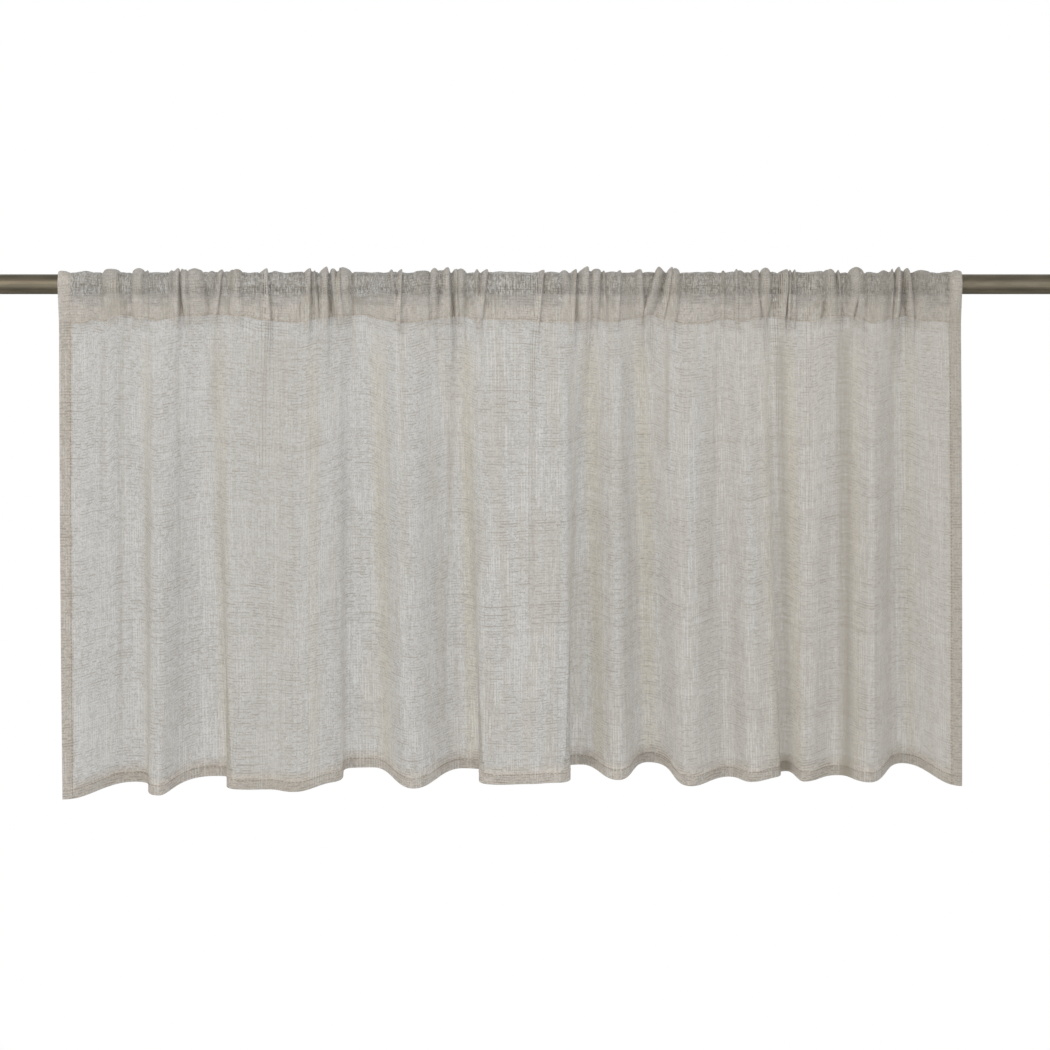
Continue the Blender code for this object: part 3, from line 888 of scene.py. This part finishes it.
# Sheerness
GAP_HAZE = 0.55  # how open a gap is, past the fuzz of the yarns round it
CASING_HAZE = 0.9
FLANK_WEIGHT = 0.08  # how much denser a flank looks
OFF_ROD_LAYERS = 1.6  # from which the casing's cloth has more cloth behind it and not the rod
TRANSLUCENT_SHARE = 0.47  # of a single layer
LAYERED_GLOW = 0.25  # share of it that is left in a hem and where the rod is behind

# Tone of the cloth
YARN_WARM = colour(0.61, 0.57, 0.51)
YARN_COOL = colour(0.655, 0.65, 0.63)
YARN_LAYERED = colour(0.685, 0.615, 0.54)
YARN_DOUBLED = colour(0.74, 0.70, 0.645)
YARN_TAN = colour(0.56, 0.505, 0.40)
# painted shade, in the creases, below the seam and towards the right
YARN_PAINTED_SHADE = colour(0.42, 0.38, 0.315)
# painted warm light, in bands on the flanks that face the key light at the left
YARN_PAINTED_WARM_LIGHT = colour(0.67, 0.58, 0.36)
YARN_SLUB = colour(0.36, 0.32, 0.265)
YARN_PALE = colour(0.74, 0.72, 0.68)
YARN_SPECK = colour(0.47, 0.445, 0.405)
YARN_SHADED = colour(0.30, 0.275, 0.235)
PANEL_MIDDLE = 700.0  # of the flat cloth, from its left edge
PAINTED_SHADE_DRIFT = 0.65  # painted shade: how far the tone drifts from cool on the left to the darker warm tone on the right, away from the key light
RIGHT_PAINTED_SHADE = 1.6  # how much shade is painted right of the middle, away from the key light, for the square of the way there
BLOTCH_SIZE = (16.0, 150.0)  # of cool and warm patches, across and down
BLOTCH_DETAIL = 2.0
WARM_BLOTCHES = Ramp(0.3, 0.7)
PATCH_SIZE = (30.0, 60.0)  # of patches with more tan, pale runs or slubs
TAN_PATCHES = Ramp(0.5, 0.65, 0.0, 0.45)
PALE_PATCHES = Ramp(0.4, 0.6, 0.15, 0.65)
SLUB_PATCHES = Ramp(0.65, 0.35, 0.4, 0.8)
SHADED_DASHES = Ramp(0.45, 0.7, 0.0, 0.5)  # dark gaps where the rod is behind the casing
CASING_PALE = 0.55  # how far the doubled cloth of the casing is paler
DOUBLED_CONTRAST = 0.5  # share of the yarns' unevenness that is left there

# Surface of the cloth
WEFT_RELIEF = 0.8  # heights for 1 of the warp
SLUB_RELIEF = 0.4
RELIEF_STRENGTH = 0.15
RELIEF_DEPTH = 0.25
CLOTH_ROUGHNESS = Ramp(0.0, 2.0, 0.95, 0.8)
CLOTH_SPECULAR = 0.25
SHEEN = 0.15
SHEEN_ROUGHNESS = 0.5


def patches(shader, u, v, size, detail=0.0):
    """Soft patches of about that size across and down the flat cloth."""
    return shader.noise(shader.math("DIVIDE", u, size[0]), shader.math("DIVIDE", v, size[1]), detail)


def drifting(shader, u, v, drift):
    return shader.math("MULTIPLY", patches(shader, u, v, (drift.width, drift.height)), drift.shift)


def threads(shader, place, pitch, half_width):
    """Parallel threads: how much each point is covered by one, and that thread's number."""
    turns = shader.math("DIVIDE", place, pitch)
    number = shader.math("FLOOR", turns)
    middle = shader.math("ABSOLUTE", shader.math("SUBTRACT", shader.math("SUBTRACT", turns, number), 0.5))
    spread = shader.math("MULTIPLY", shader.chance(number), WIDTH_SPREAD)
    width = shader.math("ADD", spread, half_width - WIDTH_SPREAD / 2)
    edge = shader.math("SUBTRACT", middle, width)
    return shader.step(edge, THREAD_EDGE, -THREAD_EDGE), number


def runs(shader, number, place, length, rarity):
    """Uneven runs along a thread in which it is thick or pale, other ones for each thread."""
    shifted = shader.math("MULTIPLY", number, RUN_SHIFT)
    return shader.step(shader.noise(shader.math("DIVIDE", place, length), shifted), rarity, rarity + RUN_EDGE)


class Yarns(NamedTuple):
    """The woven yarns at each point of the flat cloth, as outputs of nodes.

    warp_place, weft_place: the point's place across and down, as the drifting yarns have it
    warp, weft: how much a yarn covers the point
    warp_number, weft_number: which yarns these are
    slub, pale: how much the point is in a slub or a pale run
    """

    warp_place: object
    weft_place: object
    warp: object
    weft: object
    warp_number: object
    weft_number: object
    slub: object
    pale: object


def woven_yarns(shader, u, v):
    warp_place = shader.math("ADD", u, drifting(shader, u, v, WARP_DRIFT))
    weft_place = shader.math("ADD", v, drifting(shader, u, v, WEFT_DRIFT))
    weft_place = shader.math("ADD", weft_place, drifting(shader, u, v, WEFT_SLANT))
    warp, warp_number = threads(shader, warp_place, WARP_PITCH, WARP_HALF_WIDTH)
    weft, weft_number = threads(shader, weft_place, WEFT_PITCH, WEFT_HALF_WIDTH)
    coarse, coarse_number = threads(shader, weft_place, SLUB_PITCH, SLUB_HALF_WIDTH)
    slub = shader.math("MULTIPLY", coarse, runs(shader, coarse_number, u, SLUB_LENGTH, SLUB_RARITY))
    streak, streak_number = threads(shader, warp_place, PALE_PITCH, PALE_HALF_WIDTH)
    pale = shader.math("MULTIPLY", streak, runs(shader, streak_number, v, PALE_LENGTH, PALE_RARITY))
    return Yarns(warp_place, weft_place, warp, weft, warp_number, weft_number, slub, pale)


def casing_dashes(shader, yarns):
    """A chance for each gap of the stretched casing, where some are wide open and others nearly shut."""
    column = shader.math("FLOOR", shader.math("DIVIDE", yarns.warp_place, DASH_WIDTH))
    row = shader.math("ADD", shader.math("DIVIDE", yarns.weft_place, DASH_LENGTH), shader.chance(column))
    return shader.chance_at(column, shader.math("FLOOR", row))


def covered_share(shader, yarns, looks, dash):
    """How much the cloth hides of what is behind it, more on flanks and where it lies in layers."""
    beside_warp, beside_weft = (shader.math("SUBTRACT", 1.0, yarn) for yarn in (yarns.warp, yarns.weft))
    grain = shader.math("MULTIPLY", looks.casing, shader.math("SUBTRACT", dash, 0.5))
    uneven = shader.math("ADD", shader.math("MULTIPLY", grain, DASH_CONTRAST), 1.0)
    gap = shader.math("MULTIPLY", shader.math("MULTIPLY", beside_warp, beside_weft), uneven)
    open_gap = shader.math("ADD", shader.math("MULTIPLY", looks.casing, CASING_HAZE - GAP_HAZE), GAP_HAZE)
    haze = shader.math("MINIMUM", shader.math("MULTIPLY", gap, open_gap), 1.0)
    slanted = shader.math("ADD", shader.math("MULTIPLY", looks.flank, FLANK_WEIGHT), 1.0)
    thick = shader.math("MULTIPLY", slanted, looks.layers)
    return shader.math("SUBTRACT", 1.0, shader.math("POWER", haze, thick))


def cloth_tone(shader, u, v, yarns, looks, on_rod, dash):
    """Colour of the cloth: first its blotches, bands of painted warm light, hems and casing, then the single
    uneven yarns and the painted shade.
    """
    rightward = shader.math("DIVIDE", shader.math("SUBTRACT", u, PANEL_MIDDLE), 2 * PANEL_MIDDLE)
    blotch = patches(shader, u, v, BLOTCH_SIZE, BLOTCH_DETAIL)
    # painted shade: darker and warmer towards the right, away from the key light at the left
    blotch = shader.math("ADD", blotch, shader.math("MULTIPLY", rightward, PAINTED_SHADE_DRIFT))
    tone = shader.blend(shader.step(blotch, *WARM_BLOTCHES), YARN_COOL, YARN_WARM)
    # painted warm light on the flanks that face the key light
    tone = shader.blend(looks.painted_warm_light, tone, YARN_PAINTED_WARM_LIGHT)
    tone = shader.blend(shader.step(looks.layers, 1.0, HEM_LAYERS), tone, YARN_LAYERED)
    doubled = shader.math("SUBTRACT", looks.casing, on_rod)
    tone = shader.blend(shader.math("MULTIPLY", doubled, CASING_PALE), tone, YARN_DOUBLED)
    patch = patches(shader, u, v, PATCH_SIZE)
    tan = shader.math("MULTIPLY", doubled, shader.step(patch, *TAN_PATCHES))
    tone = shader.blend(tan, tone, YARN_TAN)

    even = shader.step(doubled, 0.0, 1.0, 1.0, DOUBLED_CONTRAST)
    speck = shader.math("MULTIPLY", shader.chance_at(yarns.warp_number, yarns.weft_number), even)
    tone = shader.blend(speck, tone, YARN_SPECK)
    pale = shader.math("MULTIPLY", yarns.pale, shader.step(patch, *PALE_PATCHES))
    tone = shader.blend(pale, tone, YARN_PALE)
    # painted shade: in creases, below the seam and more towards the right
    shade_to_right = shader.math("POWER", shader.math("MAXIMUM", rightward, 0.0), 2.0)
    shade_to_right = shader.math("MULTIPLY", shade_to_right, RIGHT_PAINTED_SHADE)
    crowd = shader.math("MINIMUM", shader.math("ADD", looks.crowd, shade_to_right), 1.0)
    tone = shader.blend(crowd, tone, YARN_PAINTED_SHADE)
    slub = shader.math("MULTIPLY", yarns.slub, shader.step(patch, *SLUB_PATCHES))
    tone = shader.blend(shader.math("MULTIPLY", slub, even), tone, YARN_SLUB)
    shaded = shader.math("MULTIPLY", shader.step(dash, *SHADED_DASHES), on_rod)
    return shader.blend(shaded, tone, YARN_SHADED)


def cloth_material():
    """Open plain weave of uneven yarns. Its gaps show what is behind, less so on flanks and hems."""
    shader = Shader(bpy.data.materials.new("gathered_linen"))
    flat = shader.node("SeparateXYZ", Vector=shader.node("UVMap", {"uv_map": "weave"}).outputs[0])
    u, v = (shader.math("DIVIDE", flat.outputs[axis], MM) for axis in "XY")
    looks = Looks(*(shader.attribute(name) for name in Looks._fields))
    yarns = woven_yarns(shader, u, v)
    dash = casing_dashes(shader, yarns)
    on_rod = shader.math("MULTIPLY", looks.casing, shader.step(looks.layers, OFF_ROD_LAYERS, 1.0))
    tone = cloth_tone(shader, u, v, yarns, looks, on_rod, dash)

    relief = shader.math("MAXIMUM", yarns.warp, shader.math("MULTIPLY", yarns.weft, WEFT_RELIEF))
    relief = shader.math("ADD", relief, shader.math("MULTIPLY", yarns.slub, SLUB_RELIEF))
    bump = shader.bump(relief, RELIEF_STRENGTH, RELIEF_DEPTH)
    lit = shader.node(
        "BsdfPrincipled",
        Base_Color=tone,
        Roughness=shader.step(shader.math("ADD", yarns.warp, yarns.slub), *CLOTH_ROUGHNESS),
        Normal=bump,
        Specular_IOR_Level=CLOTH_SPECULAR,
        Sheen_Weight=SHEEN,
        Sheen_Roughness=SHEEN_ROUGHNESS,
    ).outputs[0]
    glow = shader.node("BsdfTranslucent", Color=tone, Normal=bump).outputs[0]
    least = TRANSLUCENT_SHARE * LAYERED_GLOW
    glow_share = shader.step(looks.layers, 1.0, HEM_LAYERS, TRANSLUCENT_SHARE, least)
    glow_share = shader.math("MULTIPLY", glow_share, shader.step(on_rod, 0.0, 1.0, 1.0, LAYERED_GLOW))
    cloth = shader.surfaces(glow_share, lit, glow)
    clear = shader.node("BsdfTransparent").outputs[0]
    return shader.show(shader.surfaces(covered_share(shader, yarns, looks, dash), clear, cloth))


# Sewing thread
THREAD_DARK = colour(0.27, 0.21, 0.145)
THREAD_WORN = colour(0.40, 0.33, 0.25)
THREAD_CREST = colour(0.31, 0.245, 0.175)
THREAD_PALE = colour(0.56, 0.47, 0.37)
THREAD_TWIST_SCALE = 2500.0
THREAD_PATCH_SCALE = 60.0
THREAD_CRESTS = Ramp(0.3, 0.7)
THREAD_ROUGHNESS = Ramp(0.3, 0.7, 0.7, 0.85)
SEAM_THREAD = Ramp(-0.1, -0.05, 0.0, 0.7)  # heights in metres: the thread at the casing seam is paler


def stitch_material():
    shader = Shader(bpy.data.materials.new("sewing_thread"))
    where = shader.node("TexCoord").outputs["Object"]
    twist = shader.grain(where, THREAD_TWIST_SCALE, 2.0)
    worn = shader.blend(shader.grain(where, THREAD_PATCH_SCALE, 1.0), THREAD_DARK, THREAD_WORN)
    tone = shader.blend(shader.step(twist, *THREAD_CRESTS), worn, THREAD_CREST)
    height = shader.node("SeparateXYZ", Vector=where).outputs["Z"]
    tone = shader.blend(shader.step(height, *SEAM_THREAD), tone, THREAD_PALE)
    bump = shader.bump(twist, 0.5, 0.05)
    rough = shader.step(twist, *THREAD_ROUGHNESS)
    thread = shader.node("BsdfPrincipled", Base_Color=tone, Roughness=rough, Normal=bump)
    return shader.show(thread.outputs[0])


# Metal of the rod
PEWTER_DARK = colour(0.185, 0.16, 0.115)
PEWTER_PALE = colour(0.235, 0.20, 0.145)
PEWTER_BRUSHED = colour(0.28, 0.25, 0.195)
BRUSH_SCALE = (14.0, 60.0)  # noise steps for each metre along the rod and each radian round it
PATINA_SCALE = (30.0, 1.4)
PATINA = Ramp(0.35, 0.65)
BRUSH_LINES = Ramp(0.45, 0.8, 0.0, 0.5)
ROD_ROUGHNESS = Ramp(0.3, 0.7, 0.3, 0.42)


def rod_material():
    """Satin pewter-bronze metal with fine lengthwise brush lines and a faint patina."""
    shader = Shader(bpy.data.materials.new("pewter_bronze"))
    where = shader.node("SeparateXYZ", Vector=shader.node("TexCoord").outputs["Object"])
    x, y, z = (where.outputs[axis] for axis in "XYZ")
    ring = shader.math("ARCTAN2", y, z)

    def round_rod(scale):
        along, around = shader.math("MULTIPLY", x, scale[0]), shader.math("MULTIPLY", ring, scale[1])
        return shader.noise(along, around, 3.0)

    lines = round_rod(BRUSH_SCALE)
    tone = shader.blend(shader.step(round_rod(PATINA_SCALE), *PATINA), PEWTER_DARK, PEWTER_PALE)
    tone = shader.blend(shader.step(lines, *BRUSH_LINES), tone, PEWTER_BRUSHED)
    bump = shader.bump(lines, 0.25, 0.05)
    rough = shader.step(lines, *ROD_ROUGHNESS)
    metal = shader.node("BsdfPrincipled", Base_Color=tone, Metallic=1.0, Roughness=rough, Normal=bump)
    return shader.show(metal.outputs[0])


def floor_material():
    shader = Shader(bpy.data.materials.new("pale_floor"))
    grain = shader.grain(shader.node("TexCoord").outputs["Object"], 9.0, 3.0)
    tone = shader.blend(grain, colour(0.66, 0.65, 0.63), colour(0.72, 0.71, 0.69))
    return shader.show(shader.node("BsdfPrincipled", Base_Color=tone, Roughness=0.7).outputs[0])


# Camera: it looks a little down on the curtain through a long lens
CAMERA_PLACE = Vector((0.015, -4.566, 0.5606))
CAMERA_DIP = radians(10)
CAMERA_LENS = 157.5

# Light
KEY_PLACE = Vector((-1.7, -2.2, 1.3))
KEY_AIM = Vector((0.0, 0.0, -0.25))
KEY_SIZE = 1.4
KEY_POWER = 15.0
KEY_COLOUR = (1.0, 0.91, 0.79)
SURROUND_COLOUR = colour(0.97, 0.985, 1.0)
SURROUND_LEVEL = 1.13  # in front of the curtain; the next three are shares of it
SURROUND_ABOVE = 0.43
SURROUND_BELOW = 0.13
SURROUND_BEHIND = 0.93
ABOVE_REACH = (0.2, 0.9)  # parts of a direction, upward here, between which the level changes
BELOW_REACH = (-0.2, -0.9)
BEHIND_REACH = (-0.3, 0.5)
FLOOR_DROP = 1.4
FLOOR_WIDTH = 1.9
FLOOR_DEPTH = 1.4


def make_camera():
    data = bpy.data.cameras.new("camera")
    data.lens = CAMERA_LENS
    camera = bpy.data.objects.new("camera", data)
    camera.location = CAMERA_PLACE
    camera.rotation_euler = (pi / 2 - CAMERA_DIP, 0, 0)
    bpy.context.scene.collection.objects.link(camera)
    bpy.context.scene.camera = camera


def make_lights():
    data = bpy.data.lights.new("key", "AREA")
    data.shape = "DISK"
    data.size = KEY_SIZE
    data.energy = KEY_POWER
    data.color = KEY_COLOUR
    key = bpy.data.objects.new("key", data)
    key.location = KEY_PLACE
    key.rotation_euler = (KEY_AIM - KEY_PLACE).to_track_quat("-Z", "Y").to_euler()
    bpy.context.scene.collection.objects.link(key)


def make_surround():
    """A white studio: plain white to look at, and a soft bright band at eye level to light with."""
    world = bpy.data.worlds.new("studio")
    bpy.context.scene.world = world
    shader = Shader(world)
    direction = shader.node("SeparateXYZ", Vector=shader.node("TexCoord").outputs["Generated"]).outputs
    level = shader.step(direction["Z"], *ABOVE_REACH, SURROUND_LEVEL, SURROUND_LEVEL * SURROUND_ABOVE)
    level = shader.math("MULTIPLY", level, shader.step(direction["Z"], *BELOW_REACH, 1.0, SURROUND_BELOW))
    level = shader.math("MULTIPLY", level, shader.step(direction["Y"], *BEHIND_REACH, 1.0, SURROUND_BEHIND))
    light = shader.node("Background", Color=SURROUND_COLOUR, Strength=level).outputs[0]
    seen = shader.node("Background", Color=colour(1.0, 1.0, 1.0), Strength=1.0).outputs[0]
    camera_ray = shader.node("LightPath").outputs["Is Camera Ray"]
    shader.show(shader.surfaces(camera_ray, light, seen), "OutputWorld")
    bpy.context.scene.view_settings.view_transform = "Standard"


def make_floor():
    corners = [
        (side * FLOOR_WIDTH / 2, end * FLOOR_DEPTH / 2, -FLOOR_DROP)
        for side, end in ((-1, -1), (1, -1), (1, 1), (-1, 1))
    ]
    data = bpy.data.meshes.new("floor")
    data.from_pydata(corners, [], [(0, 1, 2, 3)])
    link("floor", data, floor_material())


def dress_rod():
    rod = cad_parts["rod"]
    rod.data.materials.clear()
    rod.data.materials.append(rod_material())


cloth_piece, outer_grid, hem_side = make_cloth(cloth_material())
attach(cloth_piece, "root")
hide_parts("curtain")
stitching = make_stitching(outer_grid, hem_side, stitch_material())
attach(stitching, "root")
dress_rod()

make_camera()
make_lights()
make_surround()
make_floor()
